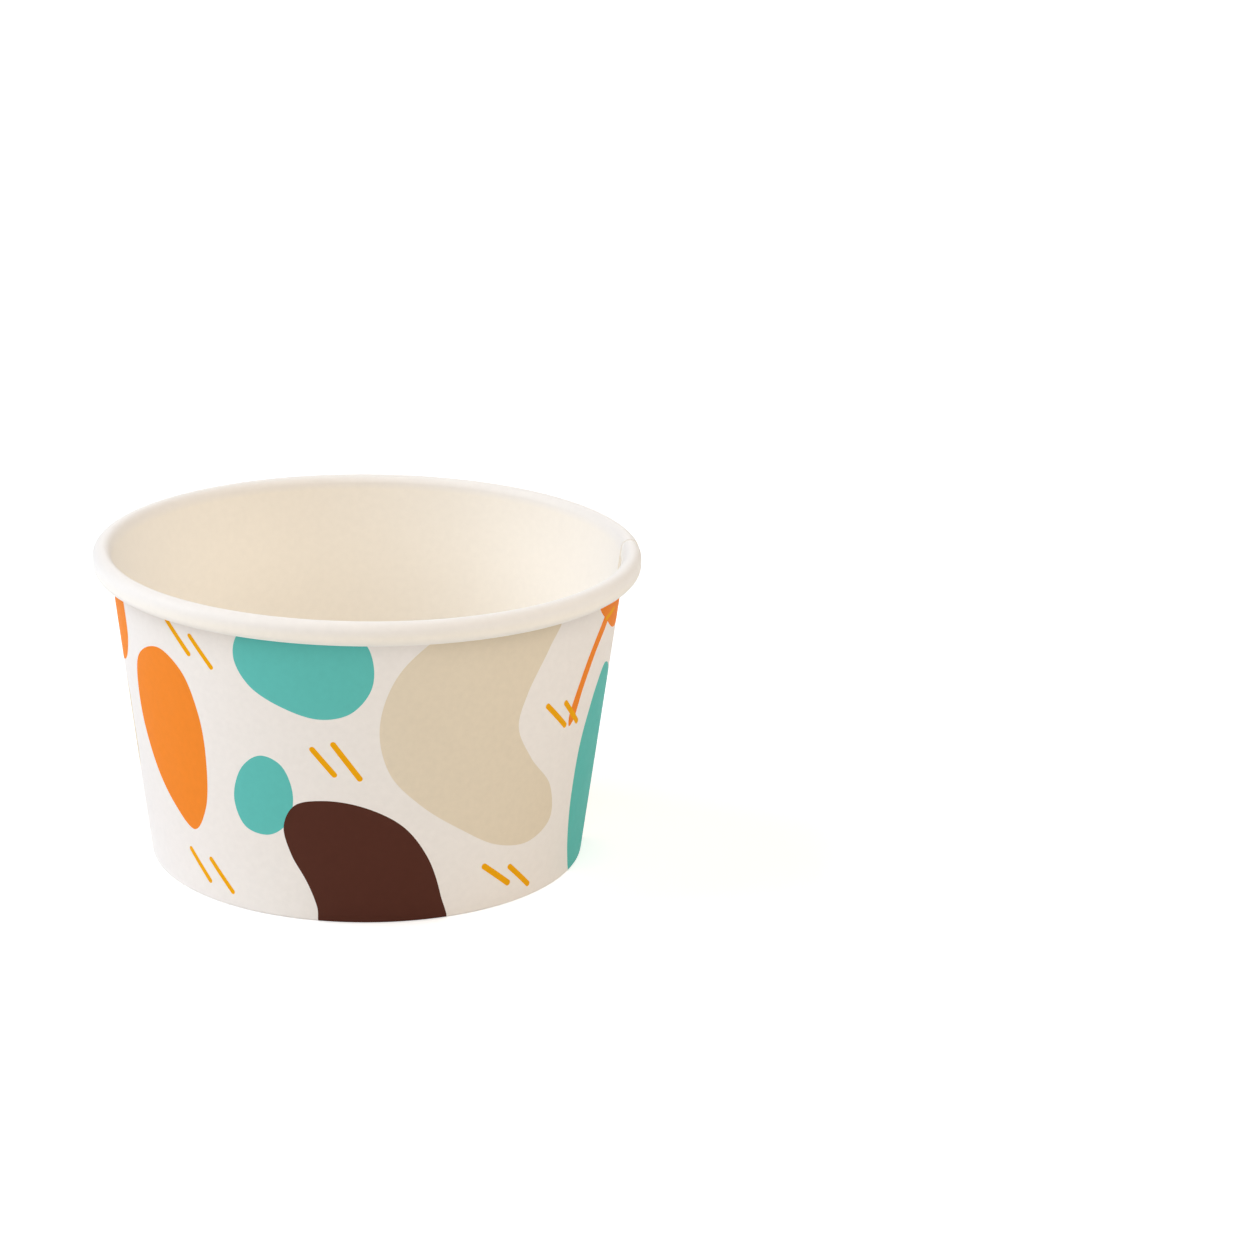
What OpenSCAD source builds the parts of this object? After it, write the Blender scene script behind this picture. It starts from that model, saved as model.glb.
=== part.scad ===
// Paper dessert cup: one rolled and folded side wall, and a pressed base panel sealed into its foot.
// Millimetres, +Z up, origin at the centre of the foot on the table.
// The cup is drawn as its makers form it: each piece is a sheet of board that runs along a path in
// the cup's half section, and the path is turned about Z.

/* [Cup] */
// Diameter over the rolled rim
rim_d = 95; // [85:0.5:110]
// Diameter of the wall's outer face at the table
base_d = 76.2; // [60:0.2:80]
// Height from the table to the top of the rim
cup_h = 55.5; // [40:0.5:90]

/* [Board] */
// Thickness of the side wall's board
wall_t = 0.45; // [0.3:0.05:0.6]
// Thickness of the base panel's board
panel_t = 0.4; // [0.3:0.05:0.6]
// Glue line between two layers of board
glue_t = 0.05; // [0.02:0.01:0.1]

/* [Rolled rim] */
// Width of the roll, with the wall in it
roll_w = 3.2; // [2.4:0.1:3.6]
// Height of the roll
roll_h = 4.0; // [3.6:0.1:5.5]
// Straight end of the board that is tucked up inside the roll
tuck_l = 0.8; // [0.3:0.1:0.9]
// Gap between the tucked end and the wall
tuck_gap = 0.1; // [0.05:0.01:0.2]

/* [Foot] */
// Height of the base panel's underside above the table
recess_h = 6.5; // [4:0.1:12]
// Inside radius of the wall's two folds at the table
fold_r = 0.05; // [0.02:0.01:0.1]
// Inside radius of the bend between the base panel and its skirt
panel_bend_r = 0.6; // [0.3:0.1:1.5]
// Height left between the hem's cut end and the panel's bend
hem_gap = 0.3; // [0.1:0.1:1]

/* [Side seam] */
// Direction of the crease from which the outer layer climbs, from +X towards +Y
seam_at = 3; // [0:1:359]
// Angle of that crease
climb_crease = 4; // [2:0.5:10]
// Width of the overlap at mid height
lap_w = 7; // [4:0.5:10]

/* [Hidden] */

$fn = 180;
bend_steps = 16; // steps in half a turn of a bend
wall_colour = "#f6f1ec";
panel_colour = "#f1e6d8";

// The rolled rim: two half turns of board joined by an upright flank.
roll_r = (roll_w - wall_t) / 2;
roll_x = rim_d / 2 - wall_t / 2 - roll_r;
roll_z = cup_h - wall_t / 2 - roll_r;

// The wall's outer face is the line from the table that touches the inside of the roll's top turn.
lean = atan2(roll_x - base_d / 2, roll_z)
    - asin((roll_r - wall_t / 2) / norm([roll_x - base_d / 2, roll_z]));

// The lower turn is tighter than the top one, so that the tucked end clears the wall.
tighter = (wall_t + tuck_gap - (roll_h - roll_w) * sin(lean)) / (1 + cos(lean) + sin(lean));
under_r = roll_r - tighter;
under_x = rim_d / 2 - wall_t / 2 - under_r;
under_z = cup_h - roll_h + wall_t / 2 + under_r;

// Depths of the layers at the foot, measured square to the wall from its outer face.
wall_mid = wall_t / 2;
skirt_mid = wall_t + glue_t + panel_t / 2;
hem_mid = wall_t + panel_t + 2 * glue_t + wall_t / 2;
foot_r = wall_t / 2 + fold_r;
fold_z = foot_r + wall_t / 2;
hem_h = recess_h - panel_bend_r - hem_gap;

// Radius of the point at a depth inside the wall's outer face and a height above the table.
function radius_at(depth, z) = base_d / 2 + z * tan(lean) - depth / cos(lean);

// Points of a turn about a centre, from one direction to another.
function turn(centre, r, from, to) =
    let (steps = max(2, ceil(abs(to - from) / 180 * bend_steps)))
    [for (i = [0:steps]) let (a = from + (to - from) * i / steps) centre + r * [cos(a), sin(a)]];

// One face of a sheet of thickness t. Its path is [start, bends, end] along the middle of the board:
// start and end are each [point, unit vector to the path's left], and a bend is
// [centre, mid radius, from, to]. side is 1 for the left face and -1 for the right one.
function face(path, t, side) =
    let (start = path[0], bends = path[1], end = path[2])
    concat(
        [start[0] + side * t / 2 * start[1]],
        [for (b = bends) each turn(b[0], b[1] + (b[3] < b[2] ? 1 : -1) * side * t / 2, b[2], b[3])],
        [end[0] + side * t / 2 * end[1]]);

// The half section of a sheet along a path: out along its left face and back along its right one.
module sheet(path, t) {
    left = face(path, t, 1);
    right = face(path, t, -1);
    polygon(concat(left, [for (i = [len(right) - 1:-1:0]) right[i]]));
}

// Unit vectors along the wall, upwards, and square to it, inwards.
along = [sin(lean), cos(lean)];
inward = [-cos(lean), sin(lean)];

// Hem, foot, wall and roll are one strip of board, followed here from the hem's cut end.
hem_foot = [radius_at(hem_mid - foot_r, fold_z), fold_z];
wall_foot = [radius_at(wall_mid + foot_r, fold_z), fold_z];
wall_path = [
    [[radius_at(hem_mid, hem_h), hem_h], -inward],
    [
        [hem_foot, foot_r, 180 - lean, 270],
        [wall_foot, foot_r, 270, 360 - lean],
        [[roll_x, roll_z], roll_r, 180 - lean, 0],
        [[under_x, under_z], under_r, 0, -180 - lean]
    ],
    [[under_x, under_z] + under_r * inward + tuck_l * along, inward]
];

// The base panel's skirt, bend and flat, followed from the skirt's cut end to the axis.
panel_mid_r = panel_bend_r + panel_t / 2;
panel_mid_z = recess_h + panel_t / 2;
skirt_foot_z = fold_z + glue_t + panel_t / 2 * sin(lean);
panel_path = [
    [[radius_at(skirt_mid, skirt_foot_z), skirt_foot_z], inward],
    [[
        [radius_at(skirt_mid + panel_mid_r, panel_mid_z - panel_mid_r), panel_mid_z - panel_mid_r],
        panel_mid_r, -lean, 90
    ]],
    [[0, panel_mid_z], [0, -1]]
];

// The side seam. The outer layer is creased off the wall, runs flat until it is one board higher, and
// then laps over the inner layer. These are its angles about Z at mid height: from the crease to the
// end of the flat, from there to the outer layer's cut edge, and how far before the crease it starts,
// where it is still inside the wall.
seam_r = radius_at(0, cup_h / 2);
climb_a = acos(seam_r * cos(climb_crease) / (seam_r + wall_t / cos(lean))) - climb_crease;
lap_a = lap_w / seam_r * 180 / PI;
before_a = climb_crease / 2;

// The half section of the wall between two depths and two heights.
module wall_band(depth_out, depth_in, z0, z1) {
    polygon([
        [radius_at(depth_out, z0), z0],
        [radius_at(depth_in, z0), z0],
        [radius_at(depth_in, z1), z1],
        [radius_at(depth_out, z1), z1]
    ]);
}

// The space on the axis side of the climbing flat, from a depth below the flat's outer face.
module inside_climb(depth) {
    translate([seam_r, 0, cup_h / 2])
        rotate([0, lean, 0])
        rotate([0, 0, -climb_crease])
        translate([-depth - rim_d, -rim_d / 2, -cup_h])
        cube([rim_d, rim_d, 2 * cup_h]);
}

// The outer layer: the board that lies outside the wall's own thickness at the seam, from the fold at
// the foot up to the roll's lower turn.
module outer_layer() {
    intersection() {
        rotate_extrude(start = -before_a, angle = before_a + climb_a + lap_a)
            wall_band(-wall_t, wall_mid, fold_z, under_z);
        inside_climb(0);
    }
}

// The wedge of air under the climbing flat, in front of the inner layer's cut edge, from the base
// panel up to the roll.
module inner_step() {
    intersection() {
        rotate_extrude(start = -before_a, angle = before_a + climb_a)
            wall_band(-wall_t, 2 * wall_t, recess_h + panel_t, under_z - wall_t);
        inside_climb(wall_t);
    }
}

// One blank of board: hem, foot, wall and roll, with its two upright edges lapped at the seam.
module side_wall() {
    color(wall_colour)
    difference() {
        union() {
            rotate_extrude() sheet(wall_path, wall_t);
            rotate([0, 0, seam_at]) outer_layer();
        }
        rotate([0, 0, seam_at]) inner_step();
    }
}

// One disc of board, with its edge bent down into a skirt that stands between the wall and the hem.
module base_panel() {
    color(panel_colour) rotate_extrude() sheet(panel_path, panel_t);
}

side_wall();
base_panel();
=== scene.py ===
# Paper dessert cup: the printed side wall, the finish of every surface, the camera, floor and lights.
# Sizes are in millimetres and angles in degrees, and take MM or math.radians on their way to Blender.
import math
import bmesh
import bpy
from mathutils import Matrix, Vector
from mathutils.geometry import delaunay_2d_cdt


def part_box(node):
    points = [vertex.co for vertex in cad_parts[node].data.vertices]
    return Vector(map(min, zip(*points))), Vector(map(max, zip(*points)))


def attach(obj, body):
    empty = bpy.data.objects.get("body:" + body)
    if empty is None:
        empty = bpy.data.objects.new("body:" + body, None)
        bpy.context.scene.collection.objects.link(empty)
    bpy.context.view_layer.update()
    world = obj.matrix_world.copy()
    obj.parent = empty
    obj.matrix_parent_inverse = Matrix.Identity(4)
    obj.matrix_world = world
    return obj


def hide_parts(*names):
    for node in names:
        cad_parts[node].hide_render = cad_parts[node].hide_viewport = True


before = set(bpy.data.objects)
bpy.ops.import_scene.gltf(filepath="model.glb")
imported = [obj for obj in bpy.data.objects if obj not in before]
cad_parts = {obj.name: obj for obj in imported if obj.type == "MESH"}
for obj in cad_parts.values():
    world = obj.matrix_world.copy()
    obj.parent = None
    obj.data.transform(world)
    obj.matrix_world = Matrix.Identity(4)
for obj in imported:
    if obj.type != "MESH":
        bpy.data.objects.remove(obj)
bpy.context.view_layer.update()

MM = 0.001

# The cup, as its solids are: overall sizes from the frame, board and folds by their own values
wall_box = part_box("side_wall")
rim_r = -wall_box[0].x / MM
cup_h = wall_box[1].z / MM
base_r = 38.1
wall_t = 0.45
panel_t = 0.4
glue_t = 0.05
roll_w = 3.2
roll_h = 4.0
tuck_l = 0.8
tuck_gap = 0.1
recess_h = 6.5
fold_r = 0.05
panel_bend_r = 0.6
hem_gap = 0.3
seam_at = 3
climb_crease = 4
lap_w = 7

# The knurl that the forming wheel presses into the hem: upright grooves, one for each two columns,
# which start at a margin from the hem's cut end and from the fold, and fade in over a short run
knurl_depth = 0.2
knurl_margin = 0.5
knurl_fade = 0.3

# How finely the wall is drawn
columns = 288
bend_step = 7.5
wall_row = 2.5
fold_steps = 8
cap_steps = 8
cut_run = 0.04
outline_step = 0.35
sharp_angle = 30
joined_within = 0.001
same_place = 1e-5

# The half section of the wall, worked out as the solids' own is
roll_r = (roll_w - wall_t) / 2
roll = Vector((rim_r - wall_t / 2 - roll_r, cup_h - wall_t / 2 - roll_r))
to_roll = roll - Vector((base_r, 0))
lean = math.atan2(to_roll.x, to_roll.y) - math.asin((roll_r - wall_t / 2) / to_roll.length)
sin_lean, cos_lean, tan_lean = math.sin(lean), math.cos(lean), math.tan(lean)
tighter = (wall_t + tuck_gap - (roll_h - roll_w) * sin_lean) / (1 + cos_lean + sin_lean)
under_r = roll_r - tighter
under = Vector((rim_r - wall_t / 2 - under_r, cup_h - roll_h + wall_t / 2 + under_r))
foot_r = wall_t / 2 + fold_r
fold_z = foot_r + wall_t / 2
hem_h = recess_h - panel_bend_r - hem_gap
hem_mid = wall_t * 1.5 + panel_t + 2 * glue_t
along = Vector((sin_lean, cos_lean))
inward = Vector((-cos_lean, sin_lean))
lean_deg = math.degrees(lean)


def radius_at(depth, z):
    """Radius of the point at a depth inside the wall's outer face and a height above the table."""
    return base_r + z * tan_lean - depth / cos_lean


def turn(centre, radius, start, end):
    """Points of a round bend, both ends included."""
    steps = max(3, math.ceil(abs(end - start) / bend_step))
    angles = [math.radians(start + (end - start) * i / steps) for i in range(steps + 1)]
    return [centre + radius * Vector((math.cos(a), math.sin(a))) for a in angles]


def wall_face(depth, heights):
    """Points of (radius, height) at a depth inside the wall's outer face."""
    return [Vector((radius_at(depth, z), z)) for z in heights]


def between(low, high, step):
    """Evenly spaced values from low to high, both included."""
    count = math.ceil((high - low) / step)
    return [low + (high - low) * i / count for i in range(count + 1)]


hem_foot = Vector((radius_at(hem_mid - foot_r, fold_z), fold_z))
wall_foot = Vector((radius_at(wall_t / 2 + foot_r, fold_z), fold_z))
half_t = wall_t / 2
tuck_end = under + under_r * inward + tuck_l * along

# Heights at the seam: where the outer layer ends behind the roll, and where the inner step starts. The
# step goes on over the roll with less depth, because both layers are rolled and pressed there.
lap_behind_roll = 0.5
lap_high = cup_h - roll_h + lap_behind_roll
lap_fade = 0.2
step_low = recess_h + panel_t
rim_press = 0.35

# The seam's angles from the crease: end of the climb, and the outer layer's cut edge
seam_r = radius_at(0, cup_h / 2)
crease = math.radians(climb_crease)
lift = wall_t / cos_lean
climb_a = math.degrees(math.acos(seam_r * math.cos(crease) / (seam_r + lift))) - climb_crease
lap_a = math.degrees(lap_w / seam_r)
cut_a = math.degrees(cut_run / seam_r)


def climb(a):
    """How far the outer layer stands off the wall's own place, a degrees past the crease."""
    if a <= 0 or a >= climb_a + lap_a + cut_a:
        return 0
    if a < climb_a:
        return min(lift, seam_r * (math.cos(crease) / math.cos(math.radians(a) + crease) - 1))
    return lift * min(1, (climb_a + lap_a + cut_a - a) / cut_a)


def inner_climb(a):
    """The same for the inner face, which drops back at the inner layer's cut edge."""
    if a <= climb_a:
        return climb(a)
    return lift * max(0, 1 - (a - climb_a) / cut_a)


def stands_off(angle, z):
    """How far the print's face is off the wall's own place. The fold at the foot flattens the lap."""
    share = max(0, min(1, z / fold_z, (lap_high + lap_fade - z) / lap_fade))
    return climb((angle - seam_at) % 360) * share


def steps_back(angle):
    """How far the face inside the cup is off the wall's own place."""
    return inner_climb((angle - seam_at) % 360)


def around(angle, radius, z):
    """The place at an angle about the axis."""
    return Vector((radius * math.cos(math.radians(angle)), radius * math.sin(math.radians(angle)), z))


# Angles of the wall's columns: even steps, and the seam's own edges. An even step that comes closer to
# one of the edges than this share of a step is left out.
closest = 0.3
first = seam_at + climb_a + lap_a + cut_a
even = [first + 360 * i / columns for i in range(columns + 1)]
edges = [seam_at + 360, seam_at + 360 + climb_a, seam_at + 360 + climb_a + cut_a, first + 360 - cut_a]
near = closest * 360 / columns
even_kept = [a for a in even[1:-1] if all(abs(a - e) > near for e in edges)]
angles = sorted([even[0], even[-1]] + even_kept + edges)


def knurl(angle):
    """How deep the hem's inner face is pressed in."""
    return knurl_depth * (1 - abs((angle - first) * columns / 360 % 2 - 1))


# The print, on the wall seen from outside, as (angle about Z, height), the lowest layer first. Angles
# grow to the right, the photographed front faces -90, and a point past the wall's top or foot only
# shapes the curve, which is cut off there.
ORANGE, TEAL, BEIGE, BROWN, YELLOW = "orange", "teal", "beige", "brown", "yellow"
FIELDS = {
    "left_top": (ORANGE, [
        (-155.5, 52), (-154.2, 47), (-155, 42.5), (-159, 38.5), (-167, 36.5), (-178, 38),
        (-186, 45), (-188, 54), (-171, 60)
    ]),
    "left_low": (BEIGE, [
        (-163.5, 31), (-163.5, 26), (-162.8, 20), (-168, 15.5), (-178, 15.5), (-187, 22),
        (-186, 31), (-175, 36)
    ]),
    "oval": (ORANGE, [
        (-138.5, 44.7), (-131, 42), (-126.8, 35), (-125.8, 27), (-127.6, 17.5), (-132.6, 12.6),
        (-140, 15.8), (-147.5, 22), (-152.1, 31), (-149.5, 40.5)
    ]),
    "bean_top": (TEAL, [
        (-113, 52), (-115.3, 47), (-112, 42.3), (-103, 38.7), (-95.5, 37.5), (-89, 38.8),
        (-84.6, 43), (-84.2, 48), (-86.5, 52), (-98, 58)
    ]),
    "egg": (TEAL, [
        (-110.3, 29.8), (-105.5, 28.6), (-102.8, 23.5), (-104.5, 18), (-109.5, 15.3),
        (-115.7, 16.1), (-118.3, 20.8), (-115.5, 27)
    ]),
    "foot": (BROWN, [
        (-97, -2), (-97.9, 2.7), (-100.2, 7.2), (-104, 12.3), (-105.5, 17.3), (-102.5, 21.4),
        (-95.5, 22.7), (-86.5, 21.8), (-77.2, 18.2), (-70.7, 12), (-66.8, 4.5), (-65, -2), (-81, -6)
    ]),
    "boomerang": (BEIGE, [
        (-70.5, 52), (-79, 45.3), (-82.7, 36), (-80.2, 27.7), (-73, 21.8), (-62.8, 16.5),
        (-51.8, 12.1), (-41, 11), (-34, 13.8), (-35.5, 20), (-44, 27), (-48.9, 33.5), (-47.2, 39.3),
        (-41.9, 46.8), (-38.8, 52), (-54, 60)
    ]),
    "right_top": (ORANGE, [
        (-24.5, 52), (-22.5, 49.5), (-18, 47), (-11, 44), (-4, 43.4), (4, 46.5), (8, 53), (-9, 60)
    ]),
    "needle": (ORANGE, [
        (-17.5, 49), (-21.5, 46), (-25.6, 41.8), (-29, 36.8), (-31.4, 32), (-30.8, 30.2),
        (-29.2, 31), (-26.3, 36.4), (-22, 42), (-16, 47.5)
    ]),
    "right_tall": (TEAL, [
        (-13.7, 37.9), (-17.9, 35), (-21, 30.8), (-23.5, 25.5), (-24.4, 18.5), (-24, 12),
        (-21.5, 4.5), (-17, -1), (-6, -4), (5, -1), (10, 10), (7.5, 22), (0, 31.5), (-8.5, 36.8)
    ]),
    "back_oval": (TEAL, [
        (34, 36), (29, 33.5), (26, 28), (28, 23.5), (33, 22), (38, 25), (41, 30.5), (39, 35)
    ]),
    "back_foot_beige": (BEIGE, [
        (30, -2), (33, 7), (40, 12), (50, 12.5), (58, 8), (60, -2), (45, -6)
    ]),
    "half_disc": (TEAL, [
        (45, 54), (44, 46), (47, 38), (54, 32), (63, 30), (73, 33), (80, 40), (83, 54), (64, 60)
    ]),
    "boot": (ORANGE, [
        (71, 27), (66, 19), (63, 9), (66, 2.5), (76, 1.5), (90, 3.5), (102, 4), (108, 8),
        (106, 14.5), (96, 18), (88, 23), (84, 29.5), (77, 31.5)
    ]),
    "back_beige": (BEIGE, [
        (121, 42), (123, 34), (131, 28.5), (143, 28), (154, 32), (160, 41), (158, 54), (140, 60),
        (127, 51)
    ]),
    "back_rim_teal": (TEAL, [
        (143, 54), (141, 46), (145, 40.5), (152, 39.5), (159, 43), (161, 54), (152, 59)
    ]),
    "back_foot_brown": (BROWN, [
        (126, -2), (127, 7), (133, 13.5), (143, 16), (154, 13.5), (161, 7), (163, -2), (145, -6)
    ]),
}

# Short brush strokes: start, end and width in mm
DASHES = [
    ((-133.8, 50.5), (-127.8, 45.6), 1.0), ((-126.8, 48.9), (-121.5, 44.2), 0.9),
    ((-97.8, 32), (-92.9, 27.6), 1.0), ((-93, 33.1), (-87.1, 27), 1.0),
    ((-135, 8.4), (-129, 3.7), 1.05), ((-127.7, 7.9), (-121.5, 2.9), 1.0),
    ((-55.2, 8.5), (-47.2, 4.1), 1.1), ((-47.2, 7.2), (-39.8, 2.5), 1.0),
    ((-40.3, 35.8), (-32.7, 30.8), 1.0), ((-33.6, 35.1), (-27.3, 30.4), 1.0),
    ((-12.3, 47.7), (-17.7, 47.1), 0.9),
    ((22, 47.5), (28, 42.5), 1.0), ((29, 48), (35, 43), 1.0),
    ((20, 17), (26, 12), 1.0), ((27, 17.5), (33, 12.5), 1.0),
    ((92, 40), (98, 34.5), 1.0), ((99, 41), (105, 35.5), 1.0),
    ((112, 24), (118, 19), 1.0), ((119, 24.5), (125, 19.5), 1.0),
    ((129, 47), (135, 42), 1.0), ((136, 48), (142, 43), 1.0),
    ((170, 12), (176, 7), 1.0), ((177, 13), (183, 8), 1.0),
]
ORANGE_DASHES = [((53, 50), (58.5, 45), 1.0), ((60.5, 48), (66, 43), 1.0)]

# Inks and boards, as sRGB colours under the scene's own light
INKS = {
    ORANGE: "#fb8f31",
    TEAL: "#66c7c0",
    BEIGE: "#ecdfc8",
    BROWN: "#563127",
    YELLOW: "#f9b00e",
}
WHITE_BOARD = "#f8f3ee"
RIM_COAT = "#f2ece5"
# Painted warm shade: the creamier tint that the inside coat is given below the rim's crest, where less
# light reaches, while the rim keeps the coat's whiter tone
PAINTED_SHADE_CREAM = "#faf2e4"
RAW_BOARD = "#efe6d8"

# Noises of the board, each with its scale for a metre and its detail: clouds of pulp, satin and fibres
PULP, SATIN, FIBRES = (900, 4), (350, 3), (5200, 5)
noise_low = 0.3
noise_high = 0.7
pulp_shade = 0.965
satin_spread = 0.05
fibre_strength = 0.6
bloom_spread = 0.85

# Heights over which one tint turns into another: the painted warm shade below the rim's crest, and the
# raw board round the base's bend
painted_shade_run = (roll.y - 0.8, roll.y + 0.4)
raw_board_run = (recess_h + 0.1, recess_h + 0.3)


def colour(text):
    """Linear colour of an sRGB hex text."""
    parts = [int(text[i:i + 2], 16) / 255 for i in (1, 3, 5)]
    return [p / 12.92 if p <= 0.04045 else ((p + 0.055) / 1.055) ** 2.4 for p in parts] + [1]


# Materials: coated board and the inks printed on it

def add_noise(material, scale, detail):
    """A noise over the object's own coordinates, as a socket."""
    nodes, links = material.node_tree.nodes, material.node_tree.links
    node = nodes.new("ShaderNodeTexNoise")
    node.inputs["Scale"].default_value = scale
    node.inputs["Detail"].default_value = detail
    links.new(nodes["place"].outputs["Object"], node.inputs["Vector"])
    return node.outputs["Fac"]


def add_range(material, value, low, high, from_low=noise_low, from_high=noise_high):
    """A value carried over to another range, as a socket."""
    nodes, links = material.node_tree.nodes, material.node_tree.links
    node = nodes.new("ShaderNodeMapRange")
    node.inputs["From Min"].default_value = from_low
    node.inputs["From Max"].default_value = from_high
    node.inputs["To Min"].default_value = low
    node.inputs["To Max"].default_value = high
    links.new(value, node.inputs["Value"])
    return node.outputs["Result"]


def add_mix(material, factor, a, b):
    """A colour between a, a colour or a socket, and b."""
    nodes, links = material.node_tree.nodes, material.node_tree.links
    node = nodes.new("ShaderNodeMix")
    node.data_type = "RGBA"
    links.new(factor, node.inputs["Factor"])
    for name, value in (("A", a), ("B", b)):
        if isinstance(value, bpy.types.NodeSocket):
            links.new(value, node.inputs[name])
        else:
            node.inputs[name].default_value = value
    return node.outputs["Result"]


def mottled(material, tint):
    """A tint with the faint clouds of pulp under it."""
    base = colour(tint)
    shade = [c * pulp_shade for c in base[:3]] + [1]
    return add_mix(material, add_range(material, add_noise(material, *PULP), 0, 1), shade, base)


def board_material(name, tint, roughness, fibre, gloss, bloom):
    """Paper board: a faint cloudy mottle, fine fibres under the coat and an uneven satin.

    fibre is the fibres' height, gloss the coat's specular level and bloom its whitening at the edges.
    """
    material = bpy.data.materials.new(name)
    material.use_nodes = True
    nodes, links = material.node_tree.nodes, material.node_tree.links
    nodes.new("ShaderNodeTexCoord").name = "place"
    shader = nodes["Principled BSDF"]
    shader.inputs["Specular IOR Level"].default_value = gloss
    shader.inputs["Sheen Weight"].default_value = bloom
    shader.inputs["Sheen Roughness"].default_value = bloom_spread
    links.new(mottled(material, tint), shader.inputs["Base Color"])
    satin = add_noise(material, *SATIN)
    satin = add_range(material, satin, roughness - satin_spread, roughness + satin_spread)
    links.new(satin, shader.inputs["Roughness"])
    bump = nodes.new("ShaderNodeBump")
    bump.inputs["Distance"].default_value = fibre * MM
    bump.inputs["Strength"].default_value = fibre_strength
    links.new(add_noise(material, *FIBRES), bump.inputs["Height"])
    links.new(bump.outputs["Normal"], shader.inputs["Normal"])
    return material


def tint_by_height(material, tint, low, high):
    """Another tint below a height, turning into the material's own over a short run upwards."""
    nodes, links = material.node_tree.nodes, material.node_tree.links
    base_colour = nodes["Principled BSDF"].inputs["Base Color"]
    split = nodes.new("ShaderNodeSeparateXYZ")
    links.new(nodes["place"].outputs["Object"], split.inputs["Vector"])
    height = add_range(material, split.outputs["Z"], 0, 1, low * MM, high * MM)
    above = base_colour.links[0].from_socket
    links.new(add_mix(material, height, mottled(material, tint), above), base_colour)


def ink_material(name, tint):
    """A matt ink on the board."""
    return board_material("ink_" + name, tint, roughness=0.6, fibre=0.012, gloss=0.04, bloom=0)


board_white = board_material(
    "board_white", WHITE_BOARD, roughness=0.58, fibre=0.012, gloss=0.15, bloom=0.2)
board_inner = board_material(
    "board_inner", RIM_COAT, roughness=0.46, fibre=0.01, gloss=0.3, bloom=1.0)
# Painted warm shade: the inside of the cup below the roll's crest is tinted creamier than the rim on
# the same coat
tint_by_height(board_inner, PAINTED_SHADE_CREAM, *painted_shade_run)
# The base panel down in the cup takes the painted warm shade's cream as its tint, and raw board below
# its bend
board_panel = board_material(
    "board_panel", PAINTED_SHADE_CREAM, roughness=0.5, fibre=0.015, gloss=0.25, bloom=0.3)
tint_by_height(board_panel, RAW_BOARD, *raw_board_run)
board_raw = board_material(
    "board_raw", RAW_BOARD, roughness=0.9, fibre=0.05, gloss=0.05, bloom=0)

# The side wall's materials, and the places of its boards and of its inks among them
MATERIALS = [board_white, board_inner, board_raw] + [ink_material(*ink) for ink in INKS.items()]
PLAIN, INNER, RAW = 0, 1, 2
slot_of = {ink: i for i, ink in enumerate(INKS, start=RAW + 1)}


# The print's outlines, in the flat pattern of the wall: x along the arc at mid height, y up the face

flat_x = seam_r * math.radians(1)
fold_arc = (foot_r + half_t) * (math.pi / 2 - lean)
patch_top = (under.y - fold_z) / cos_lean + fold_arc
print_low = 0.04
print_gap_under_roll = 0.1
print_high = patch_top - print_gap_under_roll


def flat(angle, z):
    """Flat place of a point on the wall's outer face."""
    return Vector((angle * flat_x, (z - fold_z) / cos_lean + fold_arc))


def folded(x, y):
    """Radius and height of a flat place: round the foot's fold first, then straight up the wall."""
    if y < fold_arc:
        a = -math.pi / 2 + y / (foot_r + half_t)
        return wall_foot + (foot_r + half_t) * Vector((math.cos(a), math.sin(a)))
    z = fold_z + (y - fold_arc) * cos_lean
    return Vector((radius_at(0, z), z))


def smooth_loop(points):
    """A closed curve through the points, with even curvature on uneven spacing."""
    count, out = len(points), []
    for i in range(count):
        p0, p1, p2, p3 = (points[(i + k) % count] for k in (-1, 0, 1, 2))
        d01, d12, d23 = (math.sqrt((b - a).length) for a, b in ((p0, p1), (p1, p2), (p2, p3)))
        m1 = ((p1 - p0) / d01 - (p2 - p0) / (d01 + d12) + (p2 - p1) / d12) * d12
        m2 = ((p2 - p1) / d12 - (p3 - p1) / (d12 + d23) + (p3 - p2) / d23) * d12
        steps = max(2, math.ceil((p2 - p1).length / outline_step))
        for k in range(steps):
            t = k / steps
            out.append((2 * t**3 - 3 * t**2 + 1) * p1 + (t**3 - 2 * t**2 + t) * m1
                       + (3 * t**2 - 2 * t**3) * p2 + (t**3 - t**2) * m2)
    return out


def stroke(start, end, width):
    """The outline of a round-ended stroke between two points of the wall."""
    a, b = flat(*start), flat(*end)
    heading = math.atan2(b.y - a.y, b.x - a.x)
    out = []
    for centre, side in ((b, -1), (a, 1)):
        for k in range(cap_steps + 1):
            angle = heading + side * math.pi / 2 + math.pi * k / cap_steps
            out.append(centre + width / 2 * Vector((math.cos(angle), math.sin(angle))))
    return out


def clipped(points, low, high):
    """The part of a closed outline between two flat heights."""
    for level, keep in ((low, 1), (high, -1)):
        out = []
        for a, b in zip(points, points[1:] + points[:1]):
            inside_a, inside_b = keep * (a.y - level) >= 0, keep * (b.y - level) >= 0
            if inside_a:
                out.append(a)
            if inside_a != inside_b:
                out.append(a + (b - a) * (level - a.y) / (b.y - a.y))
        points = out
    return points


def laid_out(points):
    """The outline, moved by whole turns to the wall's own angles and made to run counter-clockwise."""
    middle = sum(p.x for p in points) / len(points)
    turns = math.floor((middle / flat_x - first) / 360)
    area = sum(a.x * b.y - b.x * a.y for a, b in zip(points, points[1:] + points[:1]))
    out = [Vector((p.x - turns * 360 * flat_x, p.y)) for p in points]
    return out if area > 0 else out[::-1]


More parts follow.
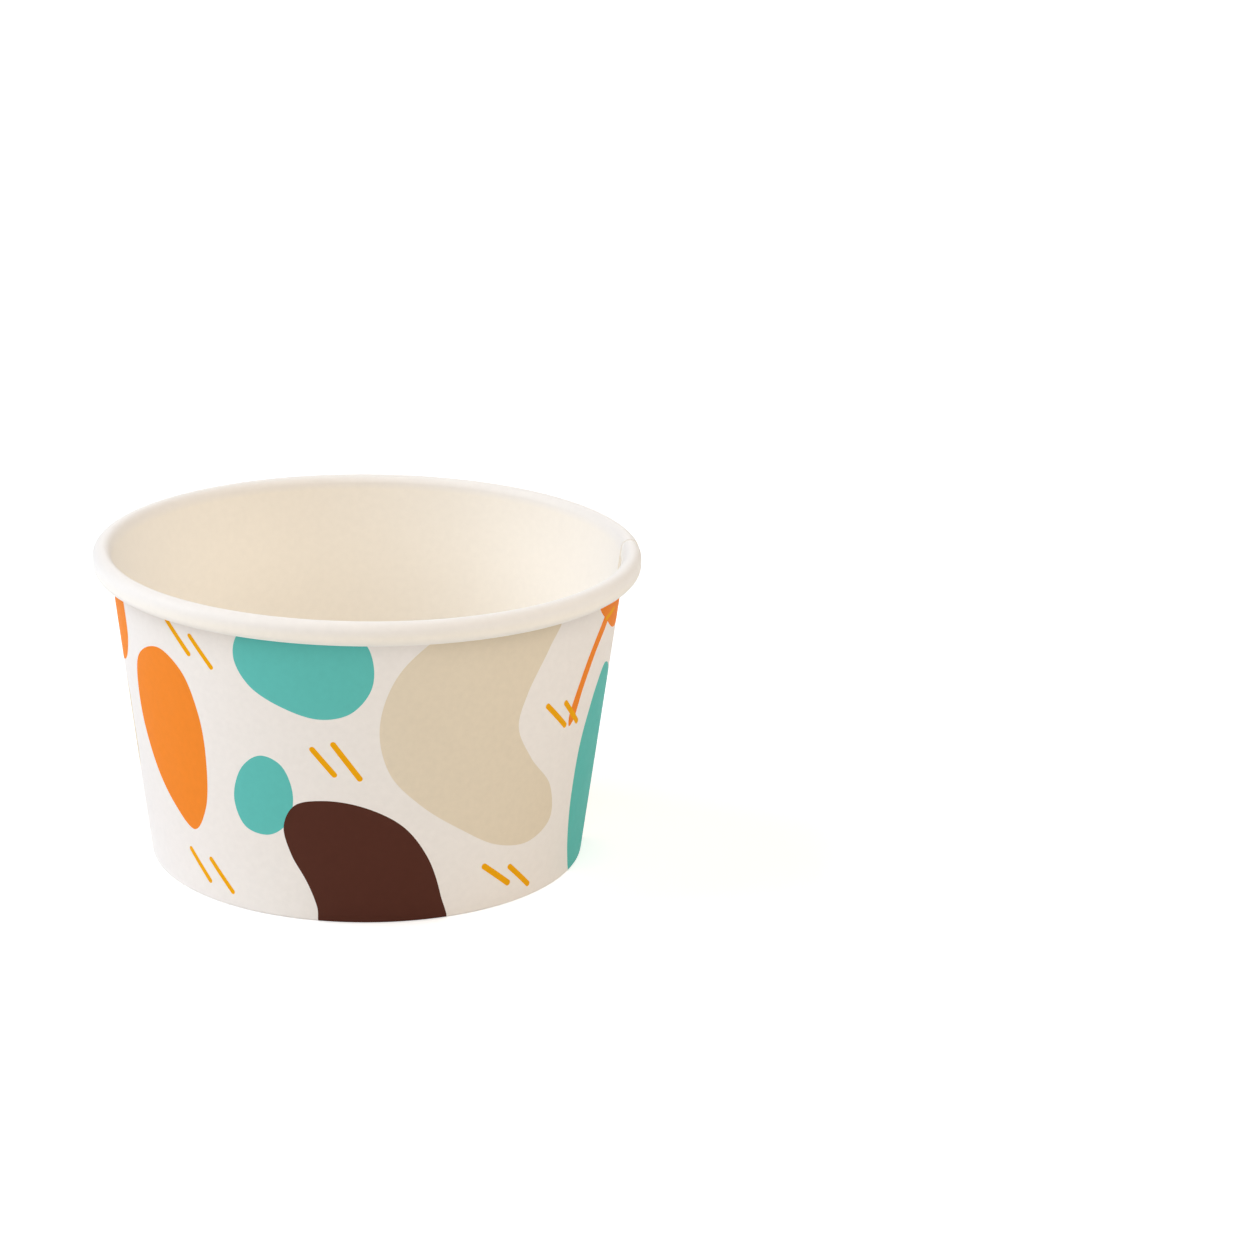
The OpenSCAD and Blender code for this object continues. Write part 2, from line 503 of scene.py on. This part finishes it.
def print_outlines():
    """Every printed field as (ink, closed outline), the lowest layer first."""
    out = [(ink, smooth_loop([flat(*p) for p in points])) for ink, points in FIELDS.values()]
    out += [(YELLOW, stroke(*dash)) for dash in DASHES]
    out += [(ORANGE, stroke(*dash)) for dash in ORANGE_DASHES]
    return [(ink, laid_out(clipped(points, print_low, print_high))) for ink, points in out]


# The wall's mesh

def printed_patch(bm):
    """The wall's outer face from the table to behind the roll, cut along the print's outlines."""
    fold_rows = [fold_arc * i / fold_steps for i in range(fold_steps + 1)]
    wall_rows = between(fold_arc, flat(0, lap_high).y, wall_row)[1:]
    rows = fold_rows + wall_rows + [flat(0, lap_high + lap_fade).y, patch_top]
    points = [Vector((a * flat_x, y)) for y in rows for a in angles]
    width = len(angles)
    lines = [(r * width + c, (r + 1) * width + c) for r in range(len(rows) - 1) for c in range(width)]
    lines += [(r * width + c, r * width + c + 1) for r in range(len(rows)) for c in range(width - 1)]
    faces, ink_of = [], []
    for ink, outline in print_outlines():
        start = len(points)
        points += outline
        faces.append(list(range(start, start + len(outline))))
        ink_of.append(slot_of[ink])
    places, _, tris, _, _, fields_of = delaunay_2d_cdt(points, lines, faces, 0, same_place)
    verts = []
    for x, y in places:
        place = folded(x, y)
        angle = x / flat_x
        verts.append(bm.verts.new(around(angle, place.x + stands_off(angle, place.y), place.y)))
    # The last column is the outer layer's cut edge. It is taken a little wide, for rounding.
    raw_from = (first + 360 - 1.01 * cut_a) * flat_x
    for tri, fields in zip(tris, fields_of):
        face = bm.faces.new([verts[i] for i in tri])
        face.smooth = True
        face.material_index = ink_of[max(fields)] if fields else PLAIN
        if min(places[i].x for i in tri) > raw_from:
            face.material_index = RAW


def turned(bm, profile, material, flip, press=None, pushes=(), smooth=True):
    """A band of the wall: a profile of (radius, height) carried round, its material on each face.

    press gives how far the band is pressed in at an angle, and pushes which way each point then goes.
    """
    rings = []
    for i, p in enumerate(profile):
        places = [p + press(a) * pushes[i] if press else p for a in angles]
        rings.append([bm.verts.new(around(a, q.x, q.y)) for a, q in zip(angles, places)])
    for low, high in zip(rings, rings[1:]):
        for i in range(len(angles) - 1):
            corners = [low[i], low[i + 1], high[i + 1], high[i]]
            face = bm.faces.new(corners[::-1] if flip else corners)
            face.material_index = material
            face.smooth = smooth


def add_inside(bm):
    """The face inside the cup, up the wall and over the roll to its tucked end."""
    outwards = Vector((1, 0))
    heights = between(step_low + cut_run, lap_high, wall_row)
    profile = wall_face(wall_t, [step_low] + heights + [lap_high + 3 * lap_fade])
    pushes = [0 * outwards] + [outwards] * len(heights) + [rim_press * outwards]
    over = turn(roll, roll_r + half_t, 180 - lean_deg, 0)
    pushes += [rim_press * (roll - p).normalized() for p in over]
    down = turn(under, under_r + half_t, 0, -180 - lean_deg)
    left = [max(0, 1 - 2 * i / len(down)) for i in range(len(down))]
    pushes += [rim_press * share * (under - p).normalized() for share, p in zip(left, down)]
    profile += over + down + [tuck_end + half_t * inward]
    turned(bm, profile, INNER, True, steps_back, pushes + [0 * outwards])


def add_hem(bm, hem_top):
    """The hem's inner face, with the knurl, and the fold under it down to the table."""
    high, low = hem_h - knurl_margin, fold_z + knurl_margin
    knurled = wall_face(hem_mid + half_t, [high, high - knurl_fade, low + knurl_fade, low])
    pushes = [Vector((share, 0)) for share in (0, 1, 1, 0)]
    fold = turn(hem_foot, foot_r + half_t, 180 - lean_deg, 270) + [Vector((wall_foot.x, 0))]
    turned(bm, [hem_top + half_t * inward, knurled[0]], PLAIN, False)
    turned(bm, knurled, PLAIN, False, knurl, pushes, smooth=False)
    turned(bm, [knurled[-1]] + fold, PLAIN, False)


def wall_mesh():
    """The whole side wall: one board, hemmed at the foot, lapped at the seam and rolled at the rim."""
    bm = bmesh.new()
    printed_patch(bm)
    add_inside(bm)
    hem_top = Vector((radius_at(hem_mid, hem_h), hem_h))
    hem_back = [hem_top - half_t * inward] + turn(hem_foot, foot_r - half_t, 180 - lean_deg, 270)
    hem_back += turn(wall_foot, foot_r - half_t, 270, 360 - lean_deg) + wall_face(wall_t, [step_low])
    turned(bm, hem_back, INNER, True)
    add_hem(bm, hem_top)
    hollow = wall_face(0, [under.y]) + turn(roll, roll_r - half_t, 180 - lean_deg, 0)
    hollow += turn(under, under_r - half_t, 0, -180 - lean_deg)
    hollow.append(tuck_end - half_t * inward)
    turned(bm, hollow, PLAIN, False)
    turned(bm, [hem_top - half_t * inward, hem_top + half_t * inward], RAW, False)
    turned(bm, [tuck_end - half_t * inward, tuck_end + half_t * inward], RAW, False)
    return bm


def mesh_piece(name, bm, materials):
    """A Blender object from a mesh in millimetres, with shared points joined."""
    bmesh.ops.remove_doubles(bm, verts=bm.verts, dist=joined_within)
    bmesh.ops.scale(bm, vec=(MM, MM, MM), verts=bm.verts)
    for edge in bm.edges:
        edge.smooth = edge.calc_face_angle(0) < math.radians(sharp_angle)
    mesh = bpy.data.meshes.new(name)
    bm.to_mesh(mesh)
    bm.free()
    for material in materials:
        mesh.materials.append(material)
    piece = bpy.data.objects.new(name, mesh)
    bpy.context.scene.collection.objects.link(piece)
    return piece


def dress_cup():
    """The printed side wall in place of its solid, and the base panel's own board."""
    wall = mesh_piece("printed_side_wall", wall_mesh(), MATERIALS)
    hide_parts("side_wall")
    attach(wall, "root")
    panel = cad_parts["base_panel"]
    panel.data.materials.clear()
    panel.data.materials.append(board_panel)


# Floor, camera and lights

floor_size = 8000
floor_white = 0.82
floor_roughness = 0.9
floor_gloss = 0.1
floor_lift = 0.5
lift_from = 100
lift_to = 700
camera_at = (45.3, -540.2, 212.35)
camera_pitch = 17.56
camera_roll = 1.62
lens_mm = 92.84
sensor_mm = 36.0
clip_near = 10
clip_far = 20000

# Square softboxes, aimed at the cup's middle: place, power in watts and tint
softbox = 900
SOFTBOXES = {
    "left": ((-843, 0, 707), 7.7, (0.91, 1.0, 1.12)),
    "right": ((843, 0, 707), 3.8, (1.12, 1.0, 0.84)),
    "front": ((0, -901, 631), 3.55, (1.05, 1.0, 0.9)),
}
sky_colour = (1.0, 0.91, 0.85, 1)
sky_strength = 0.31


def add_seen(nodes, links):
    """1 on the rays that show the background: from the camera, off a gloss or through glass."""
    path = nodes.new("ShaderNodeLightPath")
    seen = path.outputs["Is Camera Ray"]
    for name in ("Is Glossy Ray", "Is Transmission Ray"):
        either = nodes.new("ShaderNodeMath")
        either.use_clamp = True
        links.new(seen, either.inputs[0])
        links.new(path.outputs[name], either.inputs[1])
        seen = either.outputs["Value"]
    return seen


def add_floor():
    """A plain pale floor. It is seen lifted to white: in part at the cup, where its shadow stays,
    and wholly far behind it."""
    bm = bmesh.new()
    half = floor_size / 2 * MM
    corners = [(-half, -half), (half, -half), (half, half), (-half, half)]
    bm.faces.new([bm.verts.new((x, y, 0)) for x, y in corners])
    mesh = bpy.data.meshes.new("floor")
    bm.to_mesh(mesh)
    bm.free()
    material = bpy.data.materials.new("floor_white")
    material.use_nodes = True
    nodes, links = material.node_tree.nodes, material.node_tree.links
    shader = nodes["Principled BSDF"]
    shader.inputs["Base Color"].default_value = (floor_white, floor_white, floor_white, 1)
    shader.inputs["Roughness"].default_value = floor_roughness
    shader.inputs["Specular IOR Level"].default_value = floor_gloss
    shader.inputs["Emission Color"].default_value = (1, 1, 1, 1)
    nodes.new("ShaderNodeTexCoord").name = "place"
    away = nodes.new("ShaderNodeVectorMath")
    away.operation = "LENGTH"
    links.new(nodes["place"].outputs["Object"], away.inputs[0])
    lift = add_range(material, away.outputs["Value"], floor_lift, 1, lift_from * MM, lift_to * MM)
    glow = nodes.new("ShaderNodeMath")
    glow.operation = "MULTIPLY"
    links.new(add_seen(nodes, links), glow.inputs[0])
    links.new(lift, glow.inputs[1])
    links.new(glow.outputs["Value"], shader.inputs["Emission Strength"])
    mesh.materials.append(material)
    floor = bpy.data.objects.new("floor", mesh)
    bpy.context.scene.collection.objects.link(floor)


def add_camera():
    """The camera, where the fit to the photograph puts it."""
    data = bpy.data.cameras.new("camera")
    data.lens = lens_mm
    data.sensor_width = sensor_mm
    data.clip_start = clip_near * MM
    data.clip_end = clip_far * MM
    camera = bpy.data.objects.new("camera", data)
    turn_down = Matrix.Rotation(math.radians(90 - camera_pitch), 4, "X")
    lean_over = Matrix.Rotation(math.radians(camera_roll), 4, "Z")
    camera.matrix_world = Matrix.Translation(Vector(camera_at) * MM) @ turn_down @ lean_over
    bpy.context.scene.collection.objects.link(camera)
    bpy.context.scene.camera = camera


def add_lights():
    """A dim warm sky that is seen as white, and the softboxes."""
    world = bpy.data.worlds.new("studio")
    world.use_nodes = True
    nodes, links = world.node_tree.nodes, world.node_tree.links
    sky = nodes["Background"]
    sky.inputs["Color"].default_value = sky_colour
    sky.inputs["Strength"].default_value = sky_strength
    backdrop = nodes.new("ShaderNodeBackground")
    backdrop.inputs["Color"].default_value = (1, 1, 1, 1)
    either = nodes.new("ShaderNodeMixShader")
    links.new(add_seen(nodes, links), either.inputs["Fac"])
    links.new(sky.outputs["Background"], either.inputs[1])
    links.new(backdrop.outputs["Background"], either.inputs[2])
    links.new(either.outputs["Shader"], nodes["World Output"].inputs["Surface"])
    bpy.context.scene.world = world
    for name, (place, power, tint) in SOFTBOXES.items():
        data = bpy.data.lights.new(name, "AREA")
        data.size = softbox * MM
        data.energy = power
        data.color = tint
        light = bpy.data.objects.new(name, data)
        light.location = Vector(place) * MM
        aim = Vector((0, 0, cup_h / 2)) * MM - light.location
        light.rotation_mode = "QUATERNION"
        light.rotation_quaternion = aim.to_track_quat("-Z", "Y")
        bpy.context.scene.collection.objects.link(light)


dress_cup()
add_floor()
add_camera()
add_lights()
bpy.context.scene.view_settings.view_transform = "Standard"
